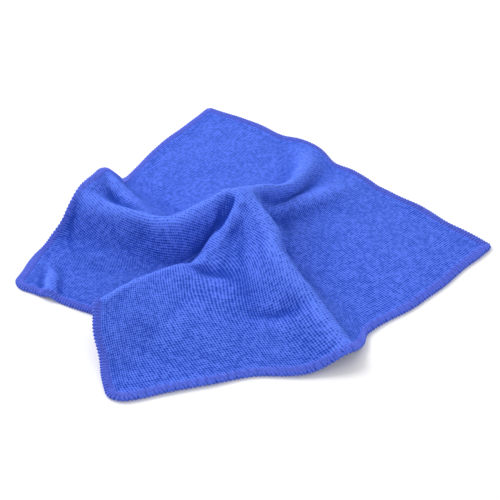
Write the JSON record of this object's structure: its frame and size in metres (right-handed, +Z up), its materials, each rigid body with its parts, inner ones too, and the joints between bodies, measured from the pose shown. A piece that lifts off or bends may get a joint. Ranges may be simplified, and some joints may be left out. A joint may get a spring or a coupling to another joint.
{
  "type": "microfibre cloth",
  "caption": "Square knitted microfibre cleaning cloth with an overlocked edge, lying loosely in folds that rise to a peak near its middle.",
  "frame": {"origin": "middle of the draped cloth's footprint, on the surface that it lies on", "axes": "+Z up, -Y towards the viewer of the picture, +X to the viewer's right"},
  "size_m": [0.321, 0.3316, 0.0515],
  "materials": {
    "knit": "matt knitted pile, royal blue"
  },
  "bodies": {
    "root": {"cloth": "knit"}
  },
  "joints": []
}
